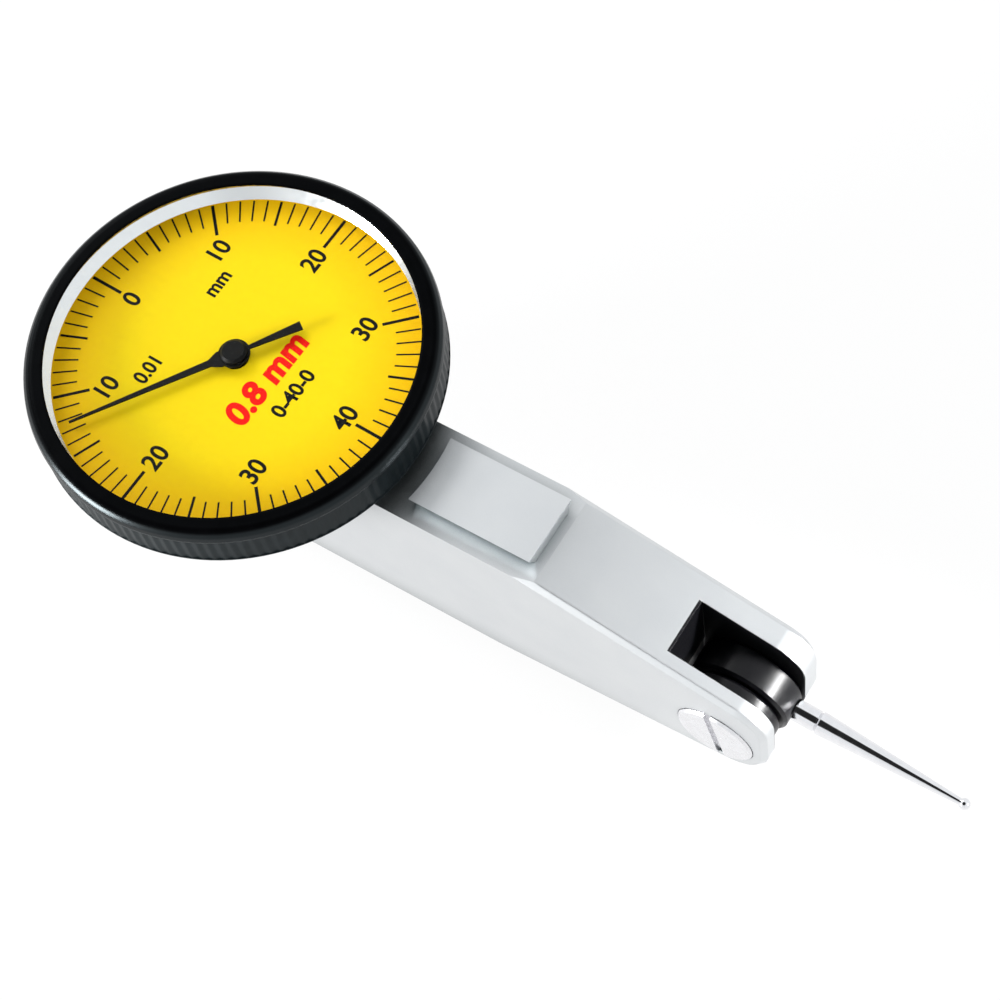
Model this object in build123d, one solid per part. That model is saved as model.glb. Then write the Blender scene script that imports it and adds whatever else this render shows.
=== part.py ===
from build123d import *
import os
from math import cos, degrees, pi, radians, sin, sqrt, tan

# Dial test indicator, lever type.  Millimetres, +Z out of the dial.
# Origin: where the dial axis meets the back face of the rear dovetail.  +X runs along the
# body towards the stylus, and Y is the axis that the lever turns on.

# ---------------------------------------------------------------- driving dimensions
# Dovetails
DOVETAIL_WIDTH = 6.35            # across the top corners, the standard clamp size
DOVETAIL_HEIGHT = 1.3
DOVETAIL_ANGLE = 60.0            # flank against the body face
FRONT_DOVETAIL_END = 30.4        # X of its square end
FRONT_DOVETAIL_GAP = 1.55        # from the bezel to its curved end
REAR_DOVETAIL_START = -6.0
REAR_DOVETAIL_END = 24.0

# Body
BODY_WIDTH = 8.9
BODY_DEPTH = 17.55               # back face to front face, beside the dovetails
BODY_START = -13.2               # X of the end below the dial
BODY_END_RADIUS = 3.0
FRONT_TAPER_START = 31.2
BACK_TAPER_START = 26.0
BODY_EDGE = 0.45                 # chamfer along the nose
NOSE_TIP = 52.1                  # X of the rounded nose
NOSE_TOP = 13.7                  # where the front taper would meet the tip
NOSE_BACK = 3.7                  # where the back taper would meet the tip
NOSE_TOP_RADIUS = 3.4
NOSE_BACK_RADIUS = 4.1
POCKET_WALL = 1.25               # body wall beside the gear pocket
POCKET_FLOOR = 0.8               # body wall behind the gear pocket
POCKET_MARGIN = 0.9              # from the crown gear to the pocket's ends

# Fork and pivot
PIVOT_X = 47.5
PIVOT_Z = 7.8
FORK_SLOT_WIDTH = 4.95
FORK_SLOT_OFFSET = -0.4           # of its middle from the body's, so the near ear is thinner
FORK_SLOT_START = 42.8
PIVOT_SCREW_HEAD_RADIUS = 3.45
PIVOT_SCREW_HEAD_DEPTH = 1.0
PIVOT_SCREW_PROUD = 0.25
PIVOT_SCREW_CHAMFER = 0.2
PIVOT_SCREW_RADIUS = 1.6
PIVOT_SCREW_SLOT = (0.6, 0.45)   # width, depth
PIVOT_SCREW_TURN = 80.0          # how far the slot is turned from the body's axis
AXLE_RADIUS = 0.75
AXLE_BITE = 0.8                  # of each end into its pivot screw

# Contact head and stylus
HEAD_RADIUS = 4.5
HEAD_WIDTH = 2.85
HEAD_GROOVE = 0.15               # between the head and the hub flange
HUB_FLANGE_RADIUS = 4.1
HUB_BARREL_RADIUS = 2.3
HEAD_CHAMFER = 0.25
RETAINER_RADIUS = 3.1
RETAINER_THICKNESS = 0.4
WASHER_THICKNESS = 0.25
STYLUS_ANGLE = -4.94             # degrees from the body's axis at rest
STYLUS_OFFSET = 0.2              # from the middle of the contact head's width
STYLUS_SHANK_RADIUS = 0.95
STYLUS_COLLAR_RADIUS = 1.0
STYLUS_COLLAR_STEP = 0.12        # length of the turned groove before the collar
STYLUS_THREAD_RADIUS = 0.55
STYLUS_THREAD_GAP = 0.4          # from the thread's end to the hub
STYLUS_NECK_RADIUS = 0.3
STYLUS_SHANK_LENGTH = 2.1
BALL_RADIUS = 0.5

# Gear train: lever sector, crown arbor pinion, crown gear, centre pinion
SECTOR_TEETH_FULL_CIRCLE = 465
ARBOR_PINION_TEETH = 12
CROWN_TEETH = 48
CENTRE_PINION_TEETH = 12
CROWN_MODULE = 0.2
CROWN_FACE = 0.7                 # length of a crown tooth along the radius
CROWN_DISC = 0.5
TRAVEL_PER_TURN = 0.8            # stylus travel for one turn of the pointer
SECTOR_HALF_HEIGHT = 1.85
SECTOR_LENGTH = 9.0
SECTOR_THICKNESS = 0.6
SECTOR_RIM = 2.2                 # depth of the toothed rim behind its pitch line
SECTOR_SHOULDER = 1.4            # from the rim to the neck
SECTOR_OVERLAP = 3.0             # where the arm and the sector are riveted
ARM_THICKNESS = 0.7
ARM_HALF_HEIGHT = 0.75
ARBOR_RADIUS = 0.45
ARBOR_PIVOT_RADIUS = 0.28
JEWEL_RADIUS = 0.75
RIVET_RADIUS = 0.35
RIVET_SPACING = 1.8
ARM_INSET = 0.25                 # from the hub's outer face to the arm
PINION_OVERHANG = 0.2            # of a pinion beyond the teeth that it meets
PIVOT_INSET = 0.1                # from an arbor's end to the outside of its bearing
CROWN_RIM = 0.3                  # of the disc inside and outside the crown teeth
CROWN_HUB_WALL = 0.75
CROWN_SPOKES = 3
CROWN_SPOKE_WIDTH = 0.7
CROWN_TOOTH_SINK = 0.05          # into the disc

# Movement frame, whose jewels are as thick as the walls that hold them
FRAME_PLATE_THICKNESS = 1.0
FRAME_CHEEK_THICKNESS = 0.65
FRAME_CHEEK_HALF_WIDTH = 2.6
FRAME_BRACKET_THICKNESS = 0.7
BRACKET_GAP = 0.35               # from the centre pinion
BRACKET_WIDTH = 2.6
JEWEL_MARGIN = 0.3               # of the bracket beyond its jewel
CHEEK_MARGIN = 1.2               # of a cheek below its jewel
MOVEMENT_SCREWS = 3
MOVEMENT_SCREW_INSET = 2.6       # from the drum's inside to the screws' circle
MOVEMENT_SCREW_RADIUS = 0.7
MOVEMENT_SCREW_HEAD = (1.2, 0.6)  # radius, height
MOVEMENT_SCREW_SLOT = 0.3
MOVEMENT_SCREW_TURN = 60.0       # where the first one stands, from +X
SCREW_END_WALL = 0.5             # drum floor left below a screw
HAIRSPRING_TURNS = 5
HAIRSPRING_STRIP = (0.1, 0.35)   # thickness, height
HAIRSPRING_OUTER = 4.6
HAIRSPRING_STEPS = 20            # points per turn
HAIRSPRING_LIFT = 0.9            # above the frame's plate
COLLET_RADIUS = 1.0
COLLET_MARGIN = 0.15             # above and below the hairspring
STUD_RADIUS = 0.4
STUD_DEPTH = 0.6                 # into the frame's plate
STUD_MARGIN = 0.2                # above the hairspring

# Case drum below the dial
DRUM_INSET = 1.3                 # drum's wall inside the neck's
DRUM_HEIGHT = 3.6                # below the flange
DRUM_WALL = 1.0
DRUM_CHAMFER = 0.6
DRUM_FLOOR = 1.4
FLANGE_OVERHANG = 0.6            # beyond the neck
FLANGE_HEIGHT = 1.0
BEZEL_FOOT = 1.85                # radial thickness of the bezel beside the neck
SNAP_RING = (0.55, 0.4)          # radial width, height
SNAP_RING_GAP = 12.0             # degrees
SNAP_RING_RISE = 0.6             # above the bezel's bottom edge
SNAP_RING_BITE = 0.15            # into the bezel's groove

# Bezel and dial
DIAL_HEIGHT = 3.65               # dial face above the body's front face
DIAL_THICKNESS = 0.4
BEZEL_RADIUS = 17.6
BEZEL_DEPTH = 2.15               # bottom edge below the dial face
BEZEL_RISE = 2.0                 # crest above the dial face
BEZEL_WALL = 1.0
BEZEL_LIP = 0.8
BEZEL_TOP_ROUND = 0.85
BEZEL_ROUND_STEPS = 3            # flats that make up the top round
BEZEL_EDGE = 0.12
BEZEL_LIP_THICKNESS = 0.15
SERRATIONS = 120
SERRATION_DEPTH = 0.08
SERRATION_INSET = 0.02           # of the teeth's tips inside the rim
SERRATION_BAND = (0.3, 2.9)      # start and height above the bottom edge
CRYSTAL_THICKNESS = 0.4
GASKET = (0.4, 0.12)             # radial width, height
REFLECTOR_FOOT = 0.95            # radial width at the dial, where its 45 degree face starts
REFLECTOR_WALL = 0.15            # above that face
POINTER_TIP_GAP = 1.05           # from the reflector
POINTER_TAIL_SHARE = 0.41        # of the pointer's length
POINTER_THICKNESS = 0.15
POINTER_FLARE = 0.75             # half width where the hand leaves its boss
POINTER_ROOT = 0.32              # half width where the flare ends
POINTER_FLARE_LENGTH = 0.85
POINTER_TIP = 0.09               # half width
POINTER_TAIL_ROOT = 0.18         # half width
POINTER_TAIL_HALF = 0.42
POINTER_BOSS_MARGIN = 0.2        # beyond the cap
POINTER_SLEEVE_WALL = 0.25
POINTER_CLEAR = 0.55             # above the dial face
POINTER_CAP = (1.15, 0.45)       # radius, height
POINTER_ANGLE = 235.0            # where the pointer stands at rest, from +X

# Clearances
RUNNING_CLEAR = 0.05             # radial, between parts that turn on each other
JEWEL_CLEAR = 0.03               # radial, round an arbor in its jewel
SIDE_CLEAR = 0.1                 # axial, between parts that turn past each other
WASHER_CLEAR = 0.02              # axial, so that the contact head can turn
HEAD_POCKET_CLEAR = 0.35         # radial, behind the contact head
CHANNEL_CLEAR = 0.4              # above and below the lever arm at full swing
ARM_SIDE_CLEAR = 0.2
RAIL_SINK = 0.5                  # how far a dovetail rail is let into the body
PAST = 1.0                       # how far a cutting tool runs past the surface it cuts
SEAT_CLEAR = 0.05                # round screws in their holes

# ---------------------------------------------------------------- derived places
BACK = DOVETAIL_HEIGHT
FRONT = BACK + BODY_DEPTH
HALF_WIDTH = BODY_WIDTH / 2
SLOT_LOW = FORK_SLOT_OFFSET - FORK_SLOT_WIDTH / 2
SLOT_HIGH = FORK_SLOT_OFFSET + FORK_SLOT_WIDTH / 2
DIAL_Z = FRONT + DIAL_HEIGHT
BEZEL_BOTTOM = DIAL_Z - BEZEL_DEPTH
BEZEL_CREST = DIAL_Z + BEZEL_RISE
NECK_RADIUS = BEZEL_RADIUS - BEZEL_FOOT - RUNNING_CLEAR
BEZEL_BORE = NECK_RADIUS + RUNNING_CLEAR
FLANGE_RADIUS = NECK_RADIUS + FLANGE_OVERHANG
DRUM_RADIUS = NECK_RADIUS - DRUM_INSET
BEZEL_INSIDE = BEZEL_RADIUS - BEZEL_WALL
DIAL_SEAT = DIAL_Z - DIAL_THICKNESS
NECK_TOP = DIAL_SEAT - SIDE_CLEAR
FLANGE_TOP = BEZEL_BOTTOM - SIDE_CLEAR
FLANGE_BOTTOM = FLANGE_TOP - FLANGE_HEIGHT
DRUM_BOTTOM = FLANGE_BOTTOM - DRUM_HEIGHT
DRUM_INSIDE = DRUM_RADIUS - DRUM_WALL
MOVEMENT_SCREW_CIRCLE = DRUM_INSIDE - MOVEMENT_SCREW_INSET
MOVEMENT_SCREW_END = DRUM_BOTTOM + SCREW_END_WALL
FLOOR = DRUM_BOTTOM + DRUM_FLOOR
SNAP_RING_BOTTOM = BEZEL_BOTTOM + SNAP_RING_RISE
SNAP_RING_OUTER = BEZEL_BORE + SNAP_RING_BITE
SNAP_RING_INNER = SNAP_RING_OUTER - SNAP_RING[0]
CRYSTAL_TOP = BEZEL_CREST - BEZEL_LIP_THICKNESS
CRYSTAL_BOTTOM = CRYSTAL_TOP - CRYSTAL_THICKNESS
GASKET_BOTTOM = CRYSTAL_BOTTOM - GASKET[1]
BEZEL_LIP_RADIUS = BEZEL_INSIDE - BEZEL_LIP
REFLECTOR_INSIDE = BEZEL_INSIDE - REFLECTOR_FOOT
POINTER_LENGTH = REFLECTOR_INSIDE - POINTER_TIP_GAP
POINTER_TAIL = POINTER_LENGTH * POINTER_TAIL_SHARE

ARBOR_PINION_RADIUS = PIVOT_X * ARBOR_PINION_TEETH / (SECTOR_TEETH_FULL_CIRCLE + ARBOR_PINION_TEETH)
SECTOR_RADIUS = PIVOT_X - ARBOR_PINION_RADIUS
SECTOR_MODULE = 2 * ARBOR_PINION_RADIUS / ARBOR_PINION_TEETH
CROWN_RADIUS = CROWN_MODULE * CROWN_TEETH / 2
CENTRE_PINION_RADIUS = CROWN_MODULE * CENTRE_PINION_TEETH / 2
TRAIN_RATIO = (SECTOR_TEETH_FULL_CIRCLE / ARBOR_PINION_TEETH) * (CROWN_TEETH / CENTRE_PINION_TEETH)
STYLUS_REACH = TRAVEL_PER_TURN * TRAIN_RATIO / (2 * pi)
SWING = degrees(TRAVEL_PER_TURN / 2 / STYLUS_REACH)
CENTRE_PINION_Z = PIVOT_Z + CROWN_RADIUS

HUB_START = SLOT_LOW + SIDE_CLEAR
HEAD_END = SLOT_HIGH - SIDE_CLEAR
HEAD_START = HEAD_END - HEAD_WIDTH
FLANGE_END = HEAD_START - HEAD_GROOVE
RETAINER_START = HEAD_END - RETAINER_THICKNESS
WASHER_START = RETAINER_START - WASHER_THICKNESS
STYLUS_Y = (HEAD_START + HEAD_END) / 2 + STYLUS_OFFSET
POCKET_HALF_WIDTH = HALF_WIDTH - POCKET_WALL
CHEEK_OUT = POCKET_HALF_WIDTH - SEAT_CLEAR
CHEEK_IN = CHEEK_OUT - FRAME_CHEEK_THICKNESS
ARM_START = HUB_START + ARM_INSET
ARM_END = ARM_START + ARM_THICKNESS
SECTOR_END = ARM_END + SECTOR_THICKNESS
BRACKET_TOP = CENTRE_PINION_Z - CROWN_FACE / 2 - PINION_OVERHANG - BRACKET_GAP
BRACKET_BOTTOM = BRACKET_TOP - FRAME_BRACKET_THICKNESS
PLATE_TOP = FLOOR + FRAME_PLATE_THICKNESS
HAIRSPRING_Z = PLATE_TOP + HAIRSPRING_LIFT
HAIRSPRING_TOP = HAIRSPRING_Z + HAIRSPRING_STRIP[1]


# ---------------------------------------------------------------- helpers
def rod_z(radius, low, high, x=0.0, y=0.0):
    return Pos(x, y, low) * Cylinder(radius, high - low, align=(Align.CENTER, Align.CENTER, Align.MIN))


def rod_y(radius, low, high, x=0.0, z=0.0):
    rod = Cylinder(radius, high - low, align=(Align.CENTER, Align.CENTER, Align.MIN))
    return Pos(x, low, z) * Rot(-90, 0, 0) * rod


def block(x0, x1, y0, y1, z0, z1):
    return Pos(x0, y0, z0) * Box(x1 - x0, y1 - y0, z1 - z0, align=(Align.MIN, Align.MIN, Align.MIN))


def turned(points):
    """A ring turned about the dial axis from (radius, height) points."""
    return revolve(make_face(Polyline(*[(r, 0, z) for r, z in points], close=True)), Axis.Z)


def plate_y(points, y0, y1):
    """A flat plate across Y from (x, z) points."""
    face = make_face(Polyline(*[(x, y0, z) for x, z in points], close=True))
    return extrude(face, y1 - y0, dir=(0, 1, 0))


def tooth_points(radius, module, pitch_angle, centre_angle):
    """One tooth as four (radius, angle) corners: root, tip, tip, root."""
    root, tip = radius - 1.2 * module, radius + 0.95 * module
    return [(root, centre_angle - 0.30 * pitch_angle), (tip, centre_angle - 0.12 * pitch_angle),
            (tip, centre_angle + 0.12 * pitch_angle), (root, centre_angle + 0.30 * pitch_angle)]


def pinion_outline(radius, teeth):
    module, pitch_angle = 2 * radius / teeth, 360 / teeth
    corners = [p for i in range(teeth) for p in tooth_points(radius, module, pitch_angle, i * pitch_angle)]
    return [(r * cos(radians(a)), r * sin(radians(a))) for r, a in corners]


def dovetail(x0, x1, face_z, outward):
    """A dovetail rail along X that stands on the face at face_z."""
    top = DOVETAIL_WIDTH / 2
    root = top - DOVETAIL_HEIGHT / tan(radians(DOVETAIL_ANGLE))
    inside, outside = face_z - outward * RAIL_SINK, face_z + outward * DOVETAIL_HEIGHT
    points = [(-root, inside), (root, inside), (root, face_z), (top, outside), (-top, outside),
              (-root, face_z)]
    face = make_face(Polyline(*[(x0, y, z) for y, z in points], close=True))
    return extrude(face, x1 - x0, dir=(1, 0, 0))


# ---------------------------------------------------------------- body
def side_profile():
    """Outline of the body from the side: both tapers run into the round nose."""
    corners = [(BODY_START, BACK), (BACK_TAPER_START, BACK), (NOSE_TIP, NOSE_BACK), (NOSE_TIP, NOSE_TOP),
               (FRONT_TAPER_START, FRONT), (BODY_START, FRONT)]
    face = make_face(Polyline(*corners, close=True))
    for height, radius in ((NOSE_TOP, NOSE_TOP_RADIUS), (NOSE_BACK, NOSE_BACK_RADIUS)):
        corner = face.vertices().sort_by_distance((NOSE_TIP, height, 0))[0]
        face = fillet(corner, radius)
    return Pos(0, HALF_WIDTH, 0) * Rot(90, 0, 0) * face


def housing():
    body = extrude(side_profile(), BODY_WIDTH, dir=(0, -1, 0))
    ends = body.edges().filter_by(Axis.Z).filter_by(lambda e: abs(e.center().X - BODY_START) < 1e-6)
    body = fillet(ends, BODY_END_RADIUS)
    nose_edges = body.edges().filter_by(
        lambda e: abs(abs(e.center().Y) - HALF_WIDTH) < 1e-4 and e.center().X > BACK_TAPER_START)
    body = chamfer(nose_edges, BODY_EDGE)
    drum = turned([(0, DRUM_BOTTOM), (DRUM_RADIUS - DRUM_CHAMFER, DRUM_BOTTOM),
                   (DRUM_RADIUS, DRUM_BOTTOM + DRUM_CHAMFER), (DRUM_RADIUS, FLANGE_BOTTOM),
                   (FLANGE_RADIUS, FLANGE_BOTTOM), (FLANGE_RADIUS, FLANGE_TOP),
                   (NECK_RADIUS, FLANGE_TOP), (NECK_RADIUS, NECK_TOP), (0, NECK_TOP)])
    front_rail = dovetail(0, FRONT_DOVETAIL_END, FRONT, 1)
    front_rail -= rod_z(BEZEL_RADIUS + FRONT_DOVETAIL_GAP, FRONT, FRONT + DOVETAIL_HEIGHT + PAST)
    rear_rail = dovetail(REAR_DOVETAIL_START, REAR_DOVETAIL_END, BACK, -1)
    shell = body + drum + front_rail + rear_rail

    shell -= rod_z(DRUM_INSIDE, FLOOR, NECK_TOP + PAST)
    pocket = CROWN_RADIUS + CROWN_FACE / 2 + CROWN_RIM + POCKET_MARGIN
    shell -= block(-pocket, pocket, -POCKET_HALF_WIDTH, POCKET_HALF_WIDTH, BACK + POCKET_FLOOR, FLOOR + PAST)
    channel = ARM_HALF_HEIGHT + (PIVOT_X - pocket) * tan(radians(SWING)) + CHANNEL_CLEAR
    shell -= block(0, FORK_SLOT_START + PAST, ARM_START - ARM_SIDE_CLEAR, SECTOR_END + ARM_SIDE_CLEAR,
                   PIVOT_Z - channel, PIVOT_Z + channel)
    shell -= block(FORK_SLOT_START, NOSE_TIP + PAST, SLOT_LOW, SLOT_HIGH, 0, FRONT)
    shell -= rod_y(HEAD_RADIUS + HEAD_POCKET_CLEAR, SLOT_LOW, SLOT_HIGH, PIVOT_X, PIVOT_Z)
    outside, seat = HALF_WIDTH + PAST, HALF_WIDTH - PIVOT_SCREW_HEAD_DEPTH
    shell -= rod_y(PIVOT_SCREW_RADIUS + SEAT_CLEAR, -outside, outside, PIVOT_X, PIVOT_Z)
    for low, high in ((-outside, -seat), (seat, outside)):
        shell -= rod_y(PIVOT_SCREW_HEAD_RADIUS + SEAT_CLEAR, low, high, PIVOT_X, PIVOT_Z)
    shell -= turned([(SNAP_RING_INNER, SNAP_RING_BOTTOM), (NECK_RADIUS + PAST, SNAP_RING_BOTTOM),
                     (NECK_RADIUS + PAST, SNAP_RING_BOTTOM + SNAP_RING[1]),
                     (SNAP_RING_INNER, SNAP_RING_BOTTOM + SNAP_RING[1])])
    for x, y in movement_screw_places():
        shell -= rod_z(MOVEMENT_SCREW_RADIUS, MOVEMENT_SCREW_END, FLOOR + PAST, x, y)
    return shell


def pivot_screw(wall):
    """Slotted bearing screw in the ear on the -Y side, from outside to the slot's wall."""
    head_low = -HALF_WIDTH - PIVOT_SCREW_PROUD
    head_high = -HALF_WIDTH + PIVOT_SCREW_HEAD_DEPTH
    screw = rod_y(PIVOT_SCREW_HEAD_RADIUS, head_low, head_high, PIVOT_X, PIVOT_Z)
    rim = screw.edges().filter_by(GeomType.CIRCLE).sort_by(Axis.Y)[0]
    screw = chamfer(rim, PIVOT_SCREW_CHAMFER)
    screw += rod_y(PIVOT_SCREW_RADIUS, head_high, -wall, PIVOT_X, PIVOT_Z)
    bore_end = -wall - AXLE_BITE - SIDE_CLEAR
    screw -= rod_y(AXLE_RADIUS + RUNNING_CLEAR, bore_end, PAST - wall, PIVOT_X, PIVOT_Z)
    width, depth = PIVOT_SCREW_SLOT
    reach = PIVOT_SCREW_HEAD_RADIUS + PAST
    slot = block(-reach, reach, head_low - PAST, head_low + depth, -width / 2, width / 2)
    return screw - Pos(PIVOT_X, 0, PIVOT_Z) * Rot(0, PIVOT_SCREW_TURN, 0) * slot


# ---------------------------------------------------------------- lever and contact head
def lever_axle():
    return rod_y(AXLE_RADIUS, SLOT_LOW - AXLE_BITE, SLOT_HIGH + AXLE_BITE, PIVOT_X, PIVOT_Z)


def arm_seat():
    """The slot in the hub flange that the arm's end fills."""
    return block(PIVOT_X - HUB_FLANGE_RADIUS - PAST, PIVOT_X - HUB_BARREL_RADIUS, ARM_START, ARM_END,
                 PIVOT_Z - ARM_HALF_HEIGHT, PIVOT_Z + ARM_HALF_HEIGHT)


def lever_hub():
    flange = rod_y(HUB_FLANGE_RADIUS, HUB_START, FLANGE_END, PIVOT_X, PIVOT_Z)
    flange = chamfer(flange.edges().filter_by(GeomType.CIRCLE), HEAD_CHAMFER)
    hub = flange + rod_y(HUB_BARREL_RADIUS, FLANGE_END, HEAD_END, PIVOT_X, PIVOT_Z)
    return hub - rod_y(AXLE_RADIUS, HUB_START, HEAD_END, PIVOT_X, PIVOT_Z) - arm_seat()


def lever_arm():
    tail = PIVOT_X - HUB_BARREL_RADIUS
    end = SECTOR_LENGTH - SECTOR_OVERLAP
    points = [(tail, PIVOT_Z - ARM_HALF_HEIGHT), (tail, PIVOT_Z + ARM_HALF_HEIGHT),
              (end, PIVOT_Z + ARM_HALF_HEIGHT), (end, PIVOT_Z - ARM_HALF_HEIGHT)]
    arm = plate_y(points, ARM_START, ARM_END)
    for x in rivet_places():
        arm -= rod_y(RIVET_RADIUS, ARM_START - PAST, ARM_END + PAST, x, PIVOT_Z)
    return arm


def rivet_places():
    middle = SECTOR_LENGTH - SECTOR_OVERLAP / 2
    return [middle - RIVET_SPACING / 2, middle + RIVET_SPACING / 2]


def sector_gear():
    """Toothed end of the lever: a few teeth of a gear that is centred on the pivot."""
    pitch_angle = 360 / SECTOR_TEETH_FULL_CIRCLE
    teeth = int(2 * SECTOR_HALF_HEIGHT / (SECTOR_RADIUS * radians(pitch_angle)) / 2) * 2
    corners = []
    for i in range(teeth):
        angle = (i - teeth / 2 + 0.5) * pitch_angle
        corners += tooth_points(SECTOR_RADIUS, SECTOR_MODULE, pitch_angle, angle)
    edge = [(PIVOT_X - r * cos(radians(a)), PIVOT_Z + r * sin(radians(a))) for r, a in corners]
    rim = ARBOR_PINION_RADIUS + SECTOR_RIM
    neck = rim + SECTOR_SHOULDER
    low, high = PIVOT_Z - SECTOR_HALF_HEIGHT, PIVOT_Z + SECTOR_HALF_HEIGHT
    neck_low, neck_high = PIVOT_Z - ARM_HALF_HEIGHT, PIVOT_Z + ARM_HALF_HEIGHT
    outline = [(edge[0][0], low)] + edge + [(edge[-1][0], high), (rim, high), (neck, neck_high),
                                           (SECTOR_LENGTH, neck_high), (SECTOR_LENGTH, neck_low),
                                           (neck, neck_low), (rim, low)]
    gear = plate_y(outline, ARM_END, SECTOR_END)
    for x in rivet_places():
        gear -= rod_y(RIVET_RADIUS, ARM_END - PAST, SECTOR_END + PAST, x, PIVOT_Z)
    return gear


def sector_rivets():
    return Compound([rod_y(RIVET_RADIUS, ARM_START, SECTOR_END, x, PIVOT_Z) for x in rivet_places()])


def contact_head():
    head = rod_y(HEAD_RADIUS, HEAD_START, HEAD_END, PIVOT_X, PIVOT_Z)
    head = chamfer(head.edges().filter_by(GeomType.CIRCLE), HEAD_CHAMFER)
    head -= rod_y(HUB_BARREL_RADIUS + RUNNING_CLEAR, HEAD_START - PAST, HEAD_END + PAST, PIVOT_X, PIVOT_Z)
    head -= rod_y(RETAINER_RADIUS + SIDE_CLEAR, WASHER_START, HEAD_END + PAST, PIVOT_X, PIVOT_Z)
    bore = Cylinder(STYLUS_THREAD_RADIUS, HEAD_RADIUS, align=(Align.CENTER, Align.CENTER, Align.MIN))
    return head - stylus_place() * Pos(0, 0, HUB_BARREL_RADIUS) * bore


def stylus_place():
    """Local +Z runs from the pivot out along the stylus."""
    return Pos(PIVOT_X, STYLUS_Y, PIVOT_Z) * Rot(0, 90 - STYLUS_ANGLE, 0)


def friction_washer():
    washer = rod_y(RETAINER_RADIUS, WASHER_START + WASHER_CLEAR, RETAINER_START, PIVOT_X, PIVOT_Z)
    return washer - rod_y(HUB_BARREL_RADIUS, WASHER_START - PAST, RETAINER_START + PAST, PIVOT_X, PIVOT_Z)


def head_retainer():
    ring = rod_y(RETAINER_RADIUS, RETAINER_START, HEAD_END, PIVOT_X, PIVOT_Z)
    return ring - rod_y(HUB_BARREL_RADIUS, RETAINER_START - PAST, HEAD_END + PAST, PIVOT_X, PIVOT_Z)


def stylus():
    start = HUB_BARREL_RADIUS + STYLUS_THREAD_GAP
    seat = HEAD_RADIUS
    shank_end = seat + STYLUS_SHANK_LENGTH
    tip = STYLUS_REACH - sqrt(BALL_RADIUS ** 2 - STYLUS_NECK_RADIUS ** 2)
    groove = STYLUS_SHANK_RADIUS - STYLUS_COLLAR_STEP
    points = [(0, start), (STYLUS_THREAD_RADIUS, start), (STYLUS_THREAD_RADIUS, seat),
              (STYLUS_SHANK_RADIUS, seat), (STYLUS_SHANK_RADIUS, shank_end - STYLUS_COLLAR_STEP),
              (groove, shank_end), (STYLUS_COLLAR_RADIUS, shank_end + STYLUS_COLLAR_STEP),
              (STYLUS_COLLAR_RADIUS, shank_end + 3 * STYLUS_COLLAR_STEP), (STYLUS_NECK_RADIUS, tip), (0, tip)]
    return stylus_place() * turned(points)


def contact_ball():
    ball = Pos(0, 0, STYLUS_REACH) * Sphere(BALL_RADIUS)
    neck_z = STYLUS_REACH - sqrt(BALL_RADIUS ** 2 - STYLUS_NECK_RADIUS ** 2)
    flat = Pos(0, 0, neck_z) * Cylinder(1, 1, align=(Align.CENTER, Align.CENTER, Align.MAX))
    return stylus_place() * (ball - flat)


# ---------------------------------------------------------------- gear train
def crown_arbor():
    end = CHEEK_IN - SIDE_CLEAR
    arbor = rod_y(ARBOR_RADIUS, -end, end, 0, PIVOT_Z)
    pivot_end = CHEEK_OUT - PIVOT_INSET
    arbor += rod_y(ARBOR_PIVOT_RADIUS, -pivot_end, pivot_end, 0, PIVOT_Z)
    outline = [(x, z + PIVOT_Z) for x, z in pinion_outline(ARBOR_PINION_RADIUS, ARBOR_PINION_TEETH)]
    return arbor + plate_y(outline, ARM_END - PINION_OVERHANG, SECTOR_END + PINION_OVERHANG)


def crown_gear():
    """Contrate gear: its teeth stand out of the disc towards -Y and meet the centre pinion."""
    inner, outer = CROWN_RADIUS - CROWN_FACE / 2, CROWN_RADIUS + CROWN_FACE / 2
    tip_y = CENTRE_PINION_RADIUS - 0.95 * CROWN_MODULE
    root_y = CENTRE_PINION_RADIUS + 1.2 * CROWN_MODULE
    disc_end = root_y + CROWN_DISC
    gear = rod_y(outer + CROWN_RIM, root_y, disc_end) - rod_y(inner - CROWN_RIM, root_y, disc_end)
    gear += rod_y(ARBOR_RADIUS + CROWN_HUB_WALL, root_y, disc_end)
    half = CROWN_SPOKE_WIDTH / 2
    for i in range(CROWN_SPOKES):
        gear += Rot(0, (i + 0.25) * 360 / CROWN_SPOKES, 0) * block(0, inner, root_y, disc_end, -half, half)
    pitch = 2 * pi * CROWN_RADIUS / CROWN_TEETH
    foot = root_y + CROWN_TOOTH_SINK
    section = [(-0.30 * pitch, foot), (-0.12 * pitch, tip_y), (0.12 * pitch, tip_y), (0.30 * pitch, foot)]
    face = make_face(Polyline(*[(x, y, inner) for x, y in section], close=True))
    tooth = extrude(face, CROWN_FACE, dir=(0, 0, 1))
    gear += [Rot(0, i * 360 / CROWN_TEETH, 0) * tooth for i in range(CROWN_TEETH)]
    return Pos(0, 0, PIVOT_Z) * (gear - rod_y(ARBOR_RADIUS, root_y, disc_end))


def centre_arbor():
    low = BRACKET_TOP + SIDE_CLEAR
    arbor = rod_z(ARBOR_RADIUS, low, DIAL_Z + POINTER_CLEAR + POINTER_THICKNESS)
    arbor += rod_z(ARBOR_PIVOT_RADIUS, BRACKET_BOTTOM + PIVOT_INSET, low)
    half = CROWN_FACE / 2 + PINION_OVERHANG
    outline = pinion_outline(CENTRE_PINION_RADIUS, CENTRE_PINION_TEETH)
    face = make_face(Polyline(*[(x, y, CENTRE_PINION_Z - half) for x, y in outline], close=True))
    mesh_angle = 90 - 180 / CENTRE_PINION_TEETH
    return arbor + Rot(0, 0, mesh_angle) * extrude(face, 2 * half, dir=(0, 0, 1))


def jewel_z(bore, low, high):
    return rod_z(JEWEL_RADIUS, low, high) - rod_z(bore, low, high)


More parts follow.
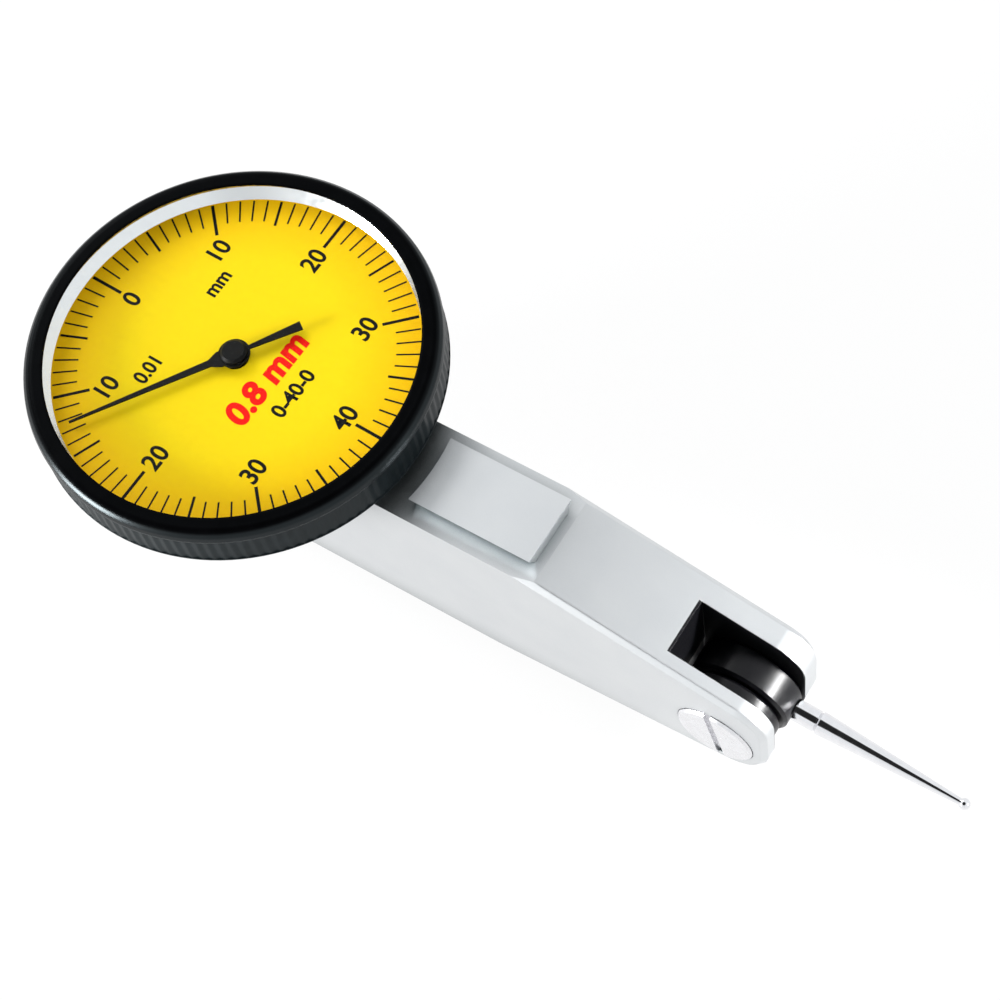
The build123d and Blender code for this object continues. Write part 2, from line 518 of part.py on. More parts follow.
def centre_jewels():
    lower = jewel_z(ARBOR_PIVOT_RADIUS + JEWEL_CLEAR, BRACKET_BOTTOM, BRACKET_TOP)
    upper = jewel_z(ARBOR_RADIUS + JEWEL_CLEAR, FLOOR, PLATE_TOP)
    return Compound([lower, upper])


def crown_jewels():
    jewels = []
    for low, high in ((-CHEEK_OUT, -CHEEK_IN), (CHEEK_IN, CHEEK_OUT)):
        jewel = rod_y(JEWEL_RADIUS, low, high, 0, PIVOT_Z)
        jewels.append(jewel - rod_y(ARBOR_PIVOT_RADIUS + JEWEL_CLEAR, low, high, 0, PIVOT_Z))
    return Compound(jewels)


# ---------------------------------------------------------------- movement frame
def movement_screw_places():
    angles = [radians(MOVEMENT_SCREW_TURN + i * 360 / MOVEMENT_SCREWS) for i in range(MOVEMENT_SCREWS)]
    return [(MOVEMENT_SCREW_CIRCLE * cos(a), MOVEMENT_SCREW_CIRCLE * sin(a)) for a in angles]


def movement_frame():
    """Round plate on the drum's floor, two cheeks for the crown arbor and a bracket between them."""
    frame = rod_z(DRUM_INSIDE - SIDE_CLEAR, FLOOR, PLATE_TOP)
    cheek_foot = PIVOT_Z - JEWEL_RADIUS - CHEEK_MARGIN
    half = FRAME_CHEEK_HALF_WIDTH
    for low, high in ((CHEEK_IN, CHEEK_OUT), (-CHEEK_OUT, -CHEEK_IN)):
        frame += block(-half, half, low, high, cheek_foot, FLOOR)
    frame += block(-BRACKET_WIDTH / 2, BRACKET_WIDTH / 2, -CHEEK_IN, JEWEL_RADIUS + JEWEL_MARGIN,
                   BRACKET_BOTTOM, BRACKET_TOP)
    frame -= rod_y(JEWEL_RADIUS, -CHEEK_OUT, CHEEK_OUT, 0, PIVOT_Z)
    frame -= rod_z(JEWEL_RADIUS, BRACKET_BOTTOM, PLATE_TOP)
    for x, y in movement_screw_places():
        frame -= rod_z(MOVEMENT_SCREW_RADIUS + SEAT_CLEAR, FLOOR, PLATE_TOP, x, y)
    x, y = stud_place()
    return frame - rod_z(STUD_RADIUS, PLATE_TOP - STUD_DEPTH, PLATE_TOP, x, y)


def movement_screws():
    radius, height = MOVEMENT_SCREW_HEAD
    screws = []
    for x, y in movement_screw_places():
        screw = rod_z(MOVEMENT_SCREW_RADIUS, MOVEMENT_SCREW_END, PLATE_TOP, x, y)
        screw += rod_z(radius, PLATE_TOP, PLATE_TOP + height, x, y)
        half = MOVEMENT_SCREW_SLOT / 2
        screws.append(screw - block(x - radius, x + radius, y - half, y + half,
                                    PLATE_TOP + height / 2, PLATE_TOP + height + PAST))
    return Compound(screws)


def stud_place():
    return (HAIRSPRING_OUTER + STUD_RADIUS + SEAT_CLEAR, 0.0)


def hairspring_stud():
    x, y = stud_place()
    return rod_z(STUD_RADIUS, PLATE_TOP - STUD_DEPTH, HAIRSPRING_TOP + STUD_MARGIN, x, y)


def hairspring_collet():
    low, high = HAIRSPRING_Z - COLLET_MARGIN, HAIRSPRING_TOP + COLLET_MARGIN
    return rod_z(COLLET_RADIUS, low, high) - rod_z(ARBOR_RADIUS, low, high)


def hairspring():
    """Flat spiral from the collet to the stud."""
    thickness, height = HAIRSPRING_STRIP
    steps = HAIRSPRING_STEPS * HAIRSPRING_TURNS
    start = COLLET_RADIUS + RUNNING_CLEAR + thickness / 2
    end = HAIRSPRING_OUTER - thickness / 2

    def spiral(offset):
        points = []
        for i in range(steps + 1):
            angle = 2 * pi * HAIRSPRING_TURNS * i / steps
            radius = start + (end - start) * i / steps + offset
            points.append((radius * cos(angle), radius * sin(angle), HAIRSPRING_Z))
        return points

    outline = spiral(thickness / 2) + spiral(-thickness / 2)[::-1]
    return extrude(make_face(Polyline(*outline, close=True)), height, dir=(0, 0, 1))


# ---------------------------------------------------------------- bezel and dial
def bezel_snap_ring():
    ring = rod_z(SNAP_RING_OUTER, SNAP_RING_BOTTOM, SNAP_RING_BOTTOM + SNAP_RING[1])
    ring -= rod_z(SNAP_RING_INNER, SNAP_RING_BOTTOM - PAST, SNAP_RING_BOTTOM + PAST)
    half = NECK_RADIUS * tan(radians(SNAP_RING_GAP / 2))
    return ring - block(-SNAP_RING_OUTER - PAST, 0, -half, half,
                        SNAP_RING_BOTTOM - PAST, SNAP_RING_BOTTOM + PAST)


def bezel_ring():
    groove = SNAP_RING_BOTTOM - SIDE_CLEAR
    groove_top = SNAP_RING_BOTTOM + SNAP_RING[1] + SIDE_CLEAR
    groove_radius = SNAP_RING_OUTER + SIDE_CLEAR
    tips = BEZEL_RADIUS - SERRATION_INSET
    core = tips - 2 * SERRATION_DEPTH
    band_low = BEZEL_BOTTOM + SERRATION_BAND[0]
    band_high = band_low + SERRATION_BAND[1]
    turns = [pi / 2 * i / BEZEL_ROUND_STEPS for i in range(BEZEL_ROUND_STEPS + 1)]
    top_round = [(BEZEL_RADIUS - BEZEL_TOP_ROUND * (1 - cos(a)), BEZEL_CREST - BEZEL_TOP_ROUND * (1 - sin(a)))
                 for a in turns]
    ring = turned([(BEZEL_BORE, BEZEL_BOTTOM), (BEZEL_RADIUS - BEZEL_EDGE, BEZEL_BOTTOM),
                   (BEZEL_RADIUS, BEZEL_BOTTOM + BEZEL_EDGE), (BEZEL_RADIUS, band_low), (core, band_low),
                   (core, band_high), (BEZEL_RADIUS, band_high)] + top_round +
                  [(BEZEL_LIP_RADIUS, BEZEL_CREST), (BEZEL_LIP_RADIUS, CRYSTAL_TOP),
                   (BEZEL_INSIDE, CRYSTAL_TOP), (BEZEL_INSIDE, DIAL_SEAT), (BEZEL_BORE, DIAL_SEAT),
                   (BEZEL_BORE, groove_top), (groove_radius, groove_top), (groove_radius, groove),
                   (BEZEL_BORE, groove)])
    points = []
    for i in range(SERRATIONS):
        for share, radius in ((0.0, tips - SERRATION_DEPTH), (0.5, tips)):
            angle = 2 * pi * (i + share) / SERRATIONS
            points.append((radius * cos(angle), radius * sin(angle), band_low))
    band = extrude(make_face(Polyline(*points, close=True)), band_high - band_low, dir=(0, 0, 1))
    return ring + (band - rod_z(core, band_low, band_high))


def dial_plate():
    return rod_z(BEZEL_INSIDE, DIAL_SEAT, DIAL_Z) - rod_z(POINTER_CAP[0], DIAL_SEAT, DIAL_Z)


def reflector_ring():
    """Bright ring round the dial, with a 45 degree face and a rim that carries the crystal's gasket."""
    inner = BEZEL_INSIDE - REFLECTOR_WALL
    return turned([(REFLECTOR_INSIDE, DIAL_Z), (BEZEL_INSIDE, DIAL_Z), (BEZEL_INSIDE, GASKET_BOTTOM),
                   (inner, GASKET_BOTTOM), (inner, DIAL_Z + REFLECTOR_FOOT - REFLECTOR_WALL)])


def crystal_gasket():
    inner = BEZEL_INSIDE - GASKET[0]
    return rod_z(BEZEL_INSIDE, GASKET_BOTTOM, CRYSTAL_BOTTOM) - rod_z(inner, GASKET_BOTTOM, CRYSTAL_BOTTOM)


def crystal():
    return rod_z(BEZEL_INSIDE, CRYSTAL_BOTTOM, CRYSTAL_TOP)


def pointer():
    """Thin tapered hand with a flare at its boss and a tail that widens, turned to its place at rest."""
    low = DIAL_Z + POINTER_CLEAR
    boss = POINTER_CAP[0] + POINTER_BOSS_MARGIN
    upper = [(-POINTER_TAIL, POINTER_TAIL_HALF), (-boss, POINTER_TAIL_ROOT), (0, POINTER_TAIL_ROOT),
             (0, POINTER_FLARE), (boss, POINTER_FLARE), (boss + POINTER_FLARE_LENGTH, POINTER_ROOT),
             (POINTER_LENGTH, POINTER_TIP)]
    outline = upper + [(x, -y) for x, y in reversed(upper)]
    face = make_face(Polyline(*[(x, y, low) for x, y in outline], close=True))
    hand = extrude(face, POINTER_THICKNESS, dir=(0, 0, 1)) + rod_z(boss, low, low + POINTER_THICKNESS)
    hand += rod_z(ARBOR_RADIUS + POINTER_SLEEVE_WALL, DIAL_Z + SIDE_CLEAR, low)
    hand -= rod_z(ARBOR_RADIUS, DIAL_Z, low + PAST)
    return Rot(0, 0, POINTER_ANGLE) * hand


def pointer_cap():
    low = DIAL_Z + POINTER_CLEAR + POINTER_THICKNESS
    radius, height = POINTER_CAP
    cap = rod_z(radius, low, low + height)
    return chamfer(cap.edges().filter_by(GeomType.CIRCLE).sort_by(Axis.Z)[-1], height / 2)


PARTS = {
    "housing": housing,
    "pivot_screw_near": lambda: pivot_screw(-SLOT_LOW),
    "pivot_screw_far": lambda: mirror(pivot_screw(SLOT_HIGH), Plane.XZ),
    "lever_axle": lever_axle,
    "lever_hub": lever_hub,
    "lever_arm": lever_arm,
    "sector_gear": sector_gear,
    "sector_rivets": sector_rivets,
    "friction_washer": friction_washer,
    "head_retainer": head_retainer,
    "contact_head": contact_head,
    "stylus": stylus,
    "contact_ball": contact_ball,
    "crown_arbor": crown_arbor,
    "crown_gear": crown_gear,
    "crown_jewels": crown_jewels,
    "centre_arbor": centre_arbor,
    "centre_jewels": centre_jewels,
    "movement_frame": movement_frame,
    "movement_screws": movement_screws,
    "hairspring": hairspring,
    "hairspring_collet": hairspring_collet,
    "hairspring_stud": hairspring_stud,
    "bezel_ring": bezel_ring,
    "bezel_snap_ring": bezel_snap_ring,
    "dial_plate": dial_plate,
    "reflector_ring": reflector_ring,
    "crystal_gasket": crystal_gasket,
    "crystal": crystal,
    "pointer": pointer,
    "pointer_cap": pointer_cap,
}

os.makedirs("parts", exist_ok=True)
for name, make in PARTS.items():
    export_step(make(), f"parts/{name}.step")
print(f"train ratio {TRAIN_RATIO:.4f}, stylus reach {STYLUS_REACH:.4f}, lever swing {SWING:.4f}")
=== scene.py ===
from math import cos, pi, radians, sin

import bmesh
import bpy
from mathutils import Matrix, Vector


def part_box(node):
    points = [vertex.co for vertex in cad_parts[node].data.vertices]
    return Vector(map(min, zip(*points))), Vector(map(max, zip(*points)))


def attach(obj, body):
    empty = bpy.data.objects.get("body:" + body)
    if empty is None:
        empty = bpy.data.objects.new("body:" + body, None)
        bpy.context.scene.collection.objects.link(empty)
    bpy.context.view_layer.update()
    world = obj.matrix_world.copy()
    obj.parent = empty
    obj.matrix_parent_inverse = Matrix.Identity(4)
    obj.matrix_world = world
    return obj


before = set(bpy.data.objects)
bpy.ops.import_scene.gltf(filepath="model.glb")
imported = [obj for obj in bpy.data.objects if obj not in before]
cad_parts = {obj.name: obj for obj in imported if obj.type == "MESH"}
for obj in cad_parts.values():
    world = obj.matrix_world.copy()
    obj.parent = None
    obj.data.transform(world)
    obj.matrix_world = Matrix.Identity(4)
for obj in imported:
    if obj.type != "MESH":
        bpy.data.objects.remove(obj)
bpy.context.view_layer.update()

# ---------------------------------------------------------------- sizes, in metres
MM = 0.001
DIAL_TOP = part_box("dial_plate")[1].z
BEZEL_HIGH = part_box("bezel_ring")[1].z
NOSE_START = 31.0 * MM            # from here on the look rounds the body's edges
NOSE_SLOT_SHADE = (42.6 * MM, -0.4 * MM, 2.50 * MM)    # painted shade: black on the walls in the fork's slot: start, middle, half width

PRINT_LIFT = 0.010 * MM           # above the dial
PRINT_TURN = radians(-2.0)        # how far the bezel, and so the print, stands from the body's axis
SCALE_RADIUS = 15.5 * MM
DIVISIONS = 80
MARKS = (                         # at each so many divisions: inner end in scale radii, half width
    (10, 0.800, 0.14 * MM),
    (5, 0.842, 0.11 * MM),
    (1, 0.865, 0.075 * MM),
)
FIGURES = 8
FIGURE_SIZE = 2.35 * MM
FIGURE_REACH = (0.725, 0.705)     # from the centre in scale radii: the 0 and the 40, the others
SMALL_PRINT = 1.9 * MM
LARGE_PRINT = 3.1 * MM
THIN, BOLD = 0.05 * MM, 0.13 * MM    # how much the letters are fattened


# ---------------------------------------------------------------- helpers
def placed(name, data):
    """New object in the scene."""
    item = bpy.data.objects.new(name, data)
    bpy.context.scene.collection.objects.link(item)
    return item


def paint(mesh, finish):
    mesh.materials.clear()
    mesh.materials.append(finish)


def toned(colour, factor=1.0, plus=0.0):
    """The colour with an alpha of one, made darker or brighter."""
    return tuple(c * factor + plus for c in colour) + (1,)


class Nodes:
    """Builds the nodes of one material, or of the world."""

    def __init__(self, name, world=False):
        self.owner = (bpy.data.worlds if world else bpy.data.materials).new(name)
        self.owner.use_nodes = True
        self.tree = self.owner.node_tree
        self.tree.nodes.clear()
        self.out = self.add("ShaderNodeOutputWorld" if world else "ShaderNodeOutputMaterial")
        self.coordinates = self.add("ShaderNodeTexCoord").outputs
        self.place = self.coordinates["Object"]

    def add(self, kind, inputs=None, **settings):
        """New node, each input linked to a socket or set to a value."""
        node = self.tree.nodes.new(kind)
        for key, value in settings.items():
            setattr(node, key, value)
        for key, value in (inputs or {}).items():
            if isinstance(value, bpy.types.NodeSocket):
                self.tree.links.new(value, node.inputs[key])
            else:
                node.inputs[key].default_value = value
        return node

    def math(self, operation, first, second=0.0):
        return self.add("ShaderNodeMath", {0: first, 1: second}, operation=operation).outputs[0]

    def noise(self, scale, detail=4.0, stretch=(1, 1, 1)):
        mapped = self.add("ShaderNodeMapping", {"Vector": self.place, "Scale": stretch}).outputs[0]
        return self.add("ShaderNodeTexNoise", {"Vector": mapped, "Scale": scale, "Detail": detail,
                                               "Roughness": 0.55}).outputs["Fac"]

    def spread(self, value, low, high, start=0.3, end=0.7, **settings):
        """Goes from low to high while the value goes from start to end."""
        return self.add("ShaderNodeMapRange", {"Value": value, "From Min": start, "From Max": end,
                                               "To Min": low, "To Max": high}, **settings).outputs[0]

    def mix(self, factor, first, second):
        """Between two colours."""
        return self.add("ShaderNodeMix", {0: factor, 6: first, 7: second}, data_type="RGBA").outputs[2]

    def blend(self, factor, first, second):
        """Between two numbers."""
        return self.add("ShaderNodeMix", {"Factor": factor, "A": first, "B": second}).outputs[0]

    def layers(self, factor, first, second):
        """Between two shaders."""
        return self.add("ShaderNodeMixShader", {0: factor, 1: first.outputs[0], 2: second.outputs[0]})

    def bevel(self, radius):
        """Normal of an edge that is rounded in the look only."""
        return self.add("ShaderNodeBevel", {"Radius": radius}, samples=6).outputs[0]

    def bump(self, height, strength, distance, normal=None):
        """Relief on the surface, or on the normal that is given."""
        inputs = {"Height": height, "Strength": strength, "Distance": distance}
        if normal is not None:
            inputs["Normal"] = normal
        return self.add("ShaderNodeBump", inputs).outputs[0]

    def finished(self, shader):
        """The material or world that shows this shader."""
        self.tree.links.new(shader.outputs[0], self.out.inputs["Surface"])
        return self.owner

    def surface(self, **inputs):
        """The material, from inputs of the Principled shader."""
        names = {key.replace("_", " "): value for key, value in inputs.items()}
        return self.finished(self.add("ShaderNodeBsdfPrincipled", names))


# ---------------------------------------------------------------- materials
def satin_chrome():
    """Satin chrome with painted shade: darker where ambient occlusion finds nooks, and black painted on the
    walls in the slot of the nose.
    """
    n = Nodes("satin_chrome")
    cloud = n.noise(220.0, 3.0)
    grain = n.noise(9000.0, 2.0)
    chrome = n.mix(n.spread(cloud, 0.0, 1.0), (0.643, 0.660, 0.674, 1), (0.673, 0.688, 0.698, 1))
    # painted shade: the chrome's colour goes dark grey where ambient occlusion finds nooks, beside the
    # bezel and the rail
    painted_nook_shade = n.add("ShaderNodeAmbientOcclusion", {"Distance": 5.0 * MM}, samples=8).outputs["AO"]
    chrome = n.mix(n.spread(painted_nook_shade, 0.0, 1.0, 0.25, 0.95), (0.16, 0.18, 0.185, 1), chrome)
    # painted shade: the walls in the slot of the nose are painted near black and not metallic, where only
    # shade falls
    place = n.add("ShaderNodeSeparateXYZ", {"Vector": n.place}).outputs
    start, middle, half = NOSE_SLOT_SHADE
    along = n.spread(place["X"], 0.0, 1.0, start - 0.05 * MM, start)
    across = n.math("ABSOLUTE", n.math("SUBTRACT", place["Y"], middle))
    slot_shade = n.math("MULTIPLY", along, n.spread(across, 1.0, 0.0, half, half + 0.04 * MM))
    nose = n.spread(place["X"], 0.0, 1.0, NOSE_START, NOSE_START + 1.0 * MM)
    sharp = n.add("ShaderNodeNewGeometry").outputs["Normal"]
    edge = n.add("ShaderNodeMix", {0: nose, 4: sharp, 5: n.bevel(0.22 * MM)}, data_type="VECTOR").outputs[1]
    return n.surface(Base_Color=n.mix(slot_shade, chrome, (0.004, 0.004, 0.005, 1)),
                     Metallic=n.math("SUBTRACT", 1.0, slot_shade), Roughness=n.spread(grain, 0.34, 0.44),
                     Specular_IOR_Level=0.1, Normal=n.bump(grain, 0.12, 0.02 * MM, edge))


def polished_steel(name, colour, rough):
    n = Nodes(name)
    marks = n.noise(1600.0)
    fine = n.noise(7000.0, 2.0, (0.15, 1, 1))
    return n.surface(Base_Color=n.mix(n.spread(marks, 0, 1), toned(colour, 0.94), toned(colour)),
                     Metallic=1.0, Roughness=n.spread(marks, rough * 0.7, rough * 1.5),
                     Normal=n.bump(fine, 0.04, 0.01 * MM))


def black_gloss():
    n = Nodes("black_gloss")
    wear = n.noise(900.0, 5.0)
    fine = n.noise(8000.0, 2.0)
    black = n.mix(n.spread(wear, 0, 1), (0.002, 0.002, 0.003, 1), (0.005, 0.005, 0.006, 1))
    return n.surface(Base_Color=black, Roughness=n.spread(wear, 0.28, 0.36), Specular_IOR_Level=0.26,
                     Normal=n.bump(fine, 0.05, 0.01 * MM))


def bezel_finish():
    """Deep black on the rounded rim. The serrated side is coloured a lighter slate, a painted reflection of
    the grey surroundings, with little shine.
    """
    n = Nodes("bezel_black")
    height = n.add("ShaderNodeSeparateXYZ", {"Vector": n.place}).outputs["Z"]
    side = n.spread(height, 1.0, 0.0, BEZEL_HIGH - 1.05 * MM, BEZEL_HIGH - 0.65 * MM)
    top = n.spread(height, 0.0, 1.0, BEZEL_HIGH - 0.25 * MM, BEZEL_HIGH - 0.05 * MM)
    wear = n.noise(700.0, 5.0)
    grain = n.noise(6000.0, 3.0)
    rim = n.mix(n.spread(wear, 0, 1), (0.0008, 0.0008, 0.001, 1), (0.0016, 0.0016, 0.002, 1))
    # painted reflection: the side's slate colour stands in for the grey it reflects, on a ring that is
    # black all over
    flank_painted_sheen = n.mix(n.spread(wear, 0, 1), (0.006, 0.009, 0.010, 1), (0.009, 0.013, 0.015, 1))
    return n.surface(Base_Color=n.mix(side, rim, flank_painted_sheen), Roughness=n.blend(side, 0.28, 0.38),
                     Specular_IOR_Level=n.blend(top, n.blend(side, 0.32, 0.07), 0.02),
                     Specular_Tint=(0.78, 0.94, 1.0, 1),
                     Normal=n.bump(grain, 0.1, 0.01 * MM, n.bevel(0.3 * MM)))


def dial_paint():
    """Yellow dial that turns more orange towards the scale."""
    n = Nodes("dial_yellow")
    flat = n.add("ShaderNodeMapping", {"Vector": n.place, "Scale": (1, 1, 0)})
    radius = n.add("ShaderNodeVectorMath", {0: flat.outputs[0]}, operation="LENGTH").outputs["Value"]
    edge = n.spread(radius, 0.0, 1.0, SCALE_RADIUS * 0.6, SCALE_RADIUS)
    speck = n.noise(2500.0, 3.0)
    middle = n.mix(n.spread(speck, 0, 1), (0.96, 0.690, 0.004, 1), (0.99, 0.725, 0.006, 1))
    outer = n.mix(n.spread(speck, 0, 1), (0.98, 0.53, 0.001, 1), (1.0, 0.57, 0.002, 1))
    return n.surface(Base_Color=n.mix(edge, middle, outer), Roughness=n.spread(speck, 0.5, 0.65),
                     Specular_IOR_Level=0.08)


def ink(name, colour):
    n = Nodes(name)
    fleck = n.noise(5000.0, 3.0)
    return n.surface(Base_Color=n.mix(n.spread(fleck, 0, 1), toned(colour), toned(colour, 1.4, 0.002)),
                     Roughness=0.5, Specular_IOR_Level=0.1)


def clear_crystal():
    """Thin clear disc: mostly see-through, with a faint reflection and hairline marks."""
    n = Nodes("crystal_clear")
    hair = n.noise(1500.0, stretch=(0.05, 1, 1))
    tint = n.mix(n.spread(hair, 0, 1), (0.985, 0.99, 0.99, 1), (0.995, 1.0, 1.0, 1))
    through = n.add("ShaderNodeBsdfTransparent", {"Color": tint})
    shine = n.add("ShaderNodeBsdfGlossy", {"Color": (1, 1, 1, 1), "Roughness": n.spread(hair, 0.03, 0.08)})
    facing = n.add("ShaderNodeLayerWeight", {"Blend": 0.08}).outputs["Fresnel"]
    return n.finished(n.layers(n.math("MULTIPLY", facing, 0.12), through, shine))


def plain_metal(name, colour, rough):
    n = Nodes(name)
    marks = n.noise(2500.0)
    return n.surface(Base_Color=n.mix(n.spread(marks, 0, 1), toned(colour, 0.85), toned(colour)),
                     Metallic=1.0, Roughness=n.spread(marks, rough * 0.8, rough * 1.3))


def ruby():
    n = Nodes("ruby")
    cloud = n.noise(3000.0, 3.0)
    return n.surface(Base_Color=n.mix(n.spread(cloud, 0, 1), (0.45, 0.01, 0.04, 1), (0.65, 0.03, 0.08, 1)),
                     Roughness=n.spread(cloud, 0.1, 0.2))


def rubber():
    n = Nodes("gasket_rubber")
    grain = n.noise(4000.0, 3.0)
    black = n.mix(n.spread(grain, 0, 1), (0.012, 0.012, 0.012, 1), (0.03, 0.03, 0.03, 1))
    return n.surface(Base_Color=black, Roughness=n.spread(grain, 0.6, 0.8))


FINISHES = {
    satin_chrome(): ["housing"],
    polished_steel("polished_steel", (0.86, 0.86, 0.88), 0.09): ["stylus", "contact_ball"],
    polished_steel("screw_steel", (0.80, 0.80, 0.82), 0.26): ["pivot_screw_near", "pivot_screw_far"],
    polished_steel("reflector_silver", (0.86, 0.87, 0.88), 0.17): ["reflector_ring"],
    black_gloss(): ["contact_head", "lever_hub", "head_retainer"],
    bezel_finish(): ["bezel_ring"],
    dial_paint(): ["dial_plate"],
    ink("hand_black", (0.004, 0.004, 0.004)): ["pointer", "pointer_cap"],
    clear_crystal(): ["crystal"],
    rubber(): ["crystal_gasket"],
    plain_metal("brass", (0.72, 0.52, 0.22), 0.3): ["movement_frame", "sector_gear", "crown_gear",
                                                   "hairspring_stud", "hairspring_collet"],
    plain_metal("train_steel", (0.55, 0.55, 0.57), 0.25): ["movement_screws", "lever_axle", "lever_arm",
                                                          "sector_rivets", "crown_arbor", "centre_arbor",
                                                          "bezel_snap_ring", "friction_washer"],
    plain_metal("blued_steel", (0.10, 0.14, 0.34), 0.25): ["hairspring"],
    ruby(): ["crown_jewels", "centre_jewels"],
}
for finish, members in FINISHES.items():
    for member in members:
        paint(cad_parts[member].data, finish)

BLACK_INK = ink("print_black", (0.003, 0.003, 0.003))
RED_INK = ink("print_red", (0.80, 0.006, 0.002))


# ---------------------------------------------------------------- dial print
def dial_print(name, mesh, finish):
    """Flat print that turns with the bezel."""
    paint(mesh, finish)
    piece = placed(name, mesh)
    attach(piece, "bezel")


def scale_marks():
    """Eighty divisions, longer at each fifth and longest at each tenth."""
    mesh = bpy.data.meshes.new("dial_scale")
    form = bmesh.new()
    for i in range(DIVISIONS):
        turn = 2 * pi * i / DIVISIONS + PRINT_TURN
        inner, half = next((inner, half) for every, inner, half in MARKS if i % every == 0)
        across = Vector((-sin(turn), cos(turn), 0)) * half
        low, high = (Vector((radius * cos(turn), radius * sin(turn), DIAL_TOP + PRINT_LIFT))
                     for radius in (inner * SCALE_RADIUS, SCALE_RADIUS))
        outline = (low - across, high - across, high + across, low + across)
        form.faces.new([form.verts.new(p) for p in outline])
    form.to_mesh(mesh)
    form.free()
    dial_print("dial_scale", mesh, BLACK_INK)


def dial_text(name, text, size, up, right, finish, squeeze=1.0, slant=0.0, fatten=THIN):
    """Text on the dial, its centre placed by up (away from the nose) and right, in scale radii."""
    curve = bpy.data.curves.new(name, "FONT")
    curve.body = text
    curve.size = size
    curve.align_x = "CENTER"
    curve.align_y = "CENTER"
    curve.shear = slant
    curve.resolution_u = 6
    curve.offset = fatten
    source = placed(name + "_source", curve)
    bpy.context.view_layer.update()
    mesh = bpy.data.meshes.new_from_object(source)
    bpy.data.objects.remove(source)
    xs = [v.co.x for v in mesh.vertices]
    ys = [v.co.y for v in mesh.vertices]
    centred = Matrix.Translation((-(min(xs) + max(xs)) / 2, -(min(ys) + max(ys)) / 2, 0))
    upright = Matrix.Rotation(pi / 2 + PRINT_TURN, 4, "Z")
    spot = Matrix.Rotation(PRINT_TURN, 4, "Z") @ Vector((-up * SCALE_RADIUS, right * SCALE_RADIUS, 0))
    spot.z = DIAL_TOP + PRINT_LIFT
    mesh.transform(Matrix.Translation(spot) @ upright @ Matrix.Diagonal((squeeze, 1, 1, 1)) @ centred)
    dial_print(name, mesh, finish)


scale_marks()
for step in range(FIGURES):
    half_way = FIGURES // 2
    value = 10 * (half_way - abs(step - half_way)) if step else 0
    turn = 2 * pi * step / FIGURES
    reach = FIGURE_REACH[0] if step % half_way == 0 else FIGURE_REACH[1]
    dial_text(f"figure_{step}", str(value), FIGURE_SIZE, reach * cos(turn), reach * sin(turn), BLACK_INK,
              squeeze=0.9)
dial_text("mark_resolution", "0.01", SMALL_PRINT, 0.37, -0.31, BLACK_INK, squeeze=0.85)
dial_text("mark_unit", "mm", SMALL_PRINT, 0.36, 0.32, BLACK_INK, squeeze=0.9)
dial_text("mark_range", "0.8 mm", LARGE_PRINT, -0.22, -0.02, RED_INK, slant=0.15,
          fatten=BOLD)
dial_text("mark_scale", "0-40-0", SMALL_PRINT, -0.40, -0.02, BLACK_INK, squeeze=0.95)


# ---------------------------------------------------------------- stage and light
FLOOR_HALF = 3.0
FLOOR_GLOW = (1.02, 0.90)         # its brightness, and its share in what the camera sees of the floor
SURROUND = 0.98                   # strength of the even light from all round
SURROUND_TINT = (0.965, 0.985, 1.0)
PATCHES = (                       # darker parts: direction, outer and inner radius in degrees, light left
    ((-0.05, -0.33, 0.94), 35, 28, 0.02),
    ((0.315, -0.836, 0.449), 18, 9, 0.85),
)
ORIGIN = (0, 0, 0)
NOSE = (51 * MM, 0, 9 * MM)
DIAL = (0, 0, 22 * MM)


def floor_material():
    """White where the camera or a reflection sees it, a plain pale floor for the light."""
    n = Nodes("studio_floor")
    speck = n.noise(30.0, 2.0)
    pale = n.mix(n.spread(speck, 0, 1), (0.80, 0.80, 0.80, 1), (0.83, 0.83, 0.83, 1))
    matte = n.add("ShaderNodeBsdfDiffuse", {"Color": pale})
    strength, share = FLOOR_GLOW
    glow = n.add("ShaderNodeEmission", {"Color": (1, 1, 1, 1), "Strength": strength})
    rays = n.add("ShaderNodeLightPath").outputs
    seen = n.math("MAXIMUM", rays["Is Camera Ray"], rays["Is Glossy Ray"])
    return n.finished(n.layers(n.math("MULTIPLY", seen, share), matte, glow))


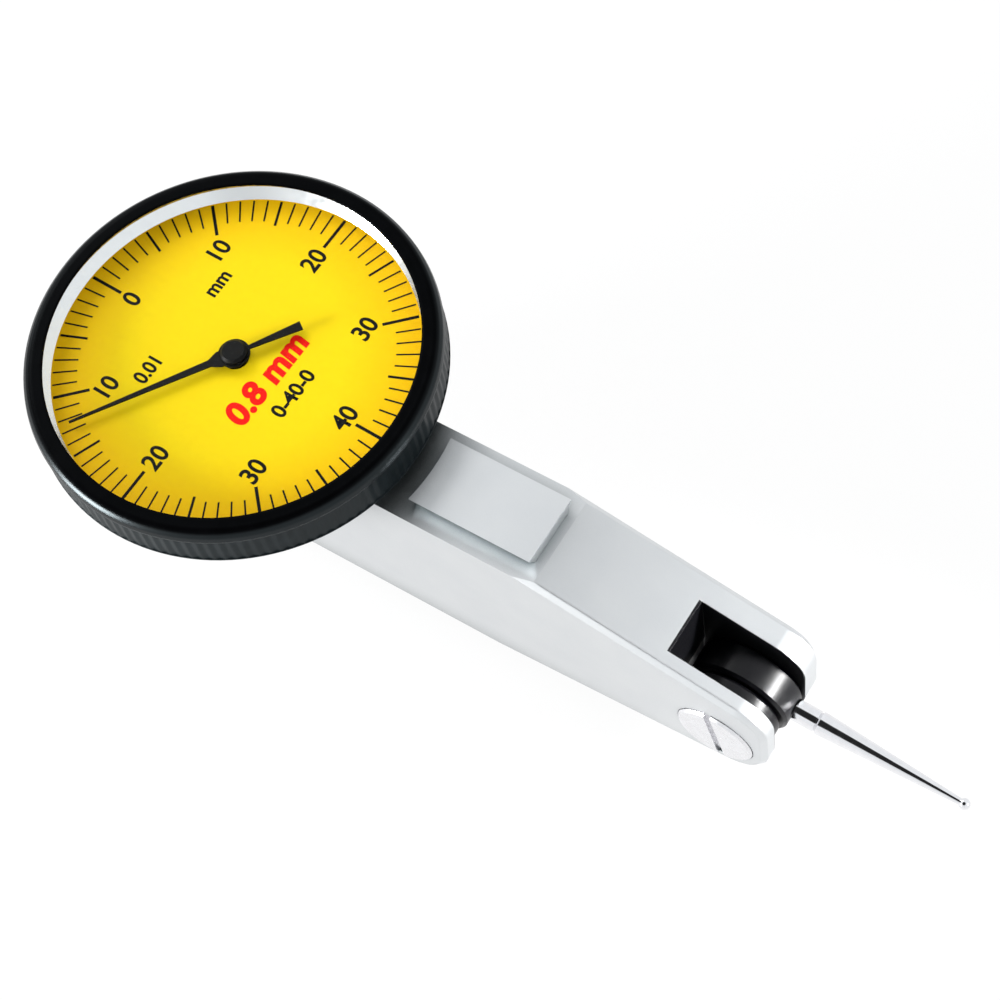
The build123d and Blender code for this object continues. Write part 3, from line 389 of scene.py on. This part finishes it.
def studio_world():
    """Soft even surround.  Its darker patches give the round steel and the reflector their dark sides."""
    n = Nodes("studio", world=True)
    strength = SURROUND
    for direction, outer, inner, left in PATCHES:
        inputs = {0: n.coordinates["Generated"], 1: Vector(direction).normalized()}
        toward = n.add("ShaderNodeVectorMath", inputs, operation="DOT_PRODUCT").outputs["Value"]
        patch = n.spread(toward, 1.0, left, cos(radians(outer)), cos(radians(inner)),
                         interpolation_type="SMOOTHSTEP")
        strength = n.math("MULTIPLY", patch, strength)
    soft = n.add("ShaderNodeBackground", {"Color": toned(SURROUND_TINT), "Strength": strength})
    white = n.add("ShaderNodeBackground", {"Color": (1, 1, 1, 1)})
    return n.finished(n.layers(n.add("ShaderNodeLightPath").outputs["Is Camera Ray"], soft, white))


def lamp(name, centre, direction, distance, target, size, power, spread=180.0):
    """Soft rectangular lamp in a direction from the centre.  spread is the beam's full angle in degrees."""
    data = bpy.data.lights.new(name, "AREA")
    data.shape = "RECTANGLE"
    data.size, data.size_y = size
    data.energy = power
    data.spread = radians(spread)
    item = placed(name, data)
    item.location = Vector(centre) + Vector(direction).normalized() * distance
    item.rotation_euler = (Vector(target) - item.location).to_track_quat("-Z", "Y").to_euler()


floor_mesh = bpy.data.meshes.new("floor")
floor_form = bmesh.new()
bmesh.ops.create_grid(floor_form, x_segments=2, y_segments=2, size=FLOOR_HALF)
floor_form.to_mesh(floor_mesh)
floor_form.free()
paint(floor_mesh, floor_material())
floor = placed("floor", floor_mesh)

bpy.context.scene.world = studio_world()
lamp("key", ORIGIN, (-0.75, 0.25, 0.62), 0.75, DIAL, (0.30, 0.30), 2.0)
lamp("nose_light", NOSE, (0.90, 0.25, 0.37), 0.09, NOSE, (0.027, 0.03), 0.0075, spread=14.0)
lamp("rim_light", DIAL, (-0.59, -0.78, 0.20), 0.60, DIAL, (0.24, 0.14), 6.4)


# ---------------------------------------------------------------- camera, as fitted to the photo
SENSOR_WIDTH, LENS = 36.0, 82.87  # in millimetres
CAMERA_PLACE = (0.08629, -0.06021, 0.18263)
CAMERA_AXES = (                   # to its right, up, and behind it
    (0.83872, 0.53211, -0.11574),
    (-0.43232, 0.77988, 0.45264),
    (0.33112, -0.32961, 0.88415),
)

camera_data = bpy.data.cameras.new("camera")
camera_data.sensor_width = SENSOR_WIDTH
camera_data.lens = LENS
camera_data.clip_start = 0.01
camera = placed("camera", camera_data)
camera.matrix_world = Matrix.Translation(CAMERA_PLACE) @ Matrix(CAMERA_AXES).transposed().to_4x4()
bpy.context.scene.camera = camera
bpy.context.scene.view_settings.view_transform = "Standard"
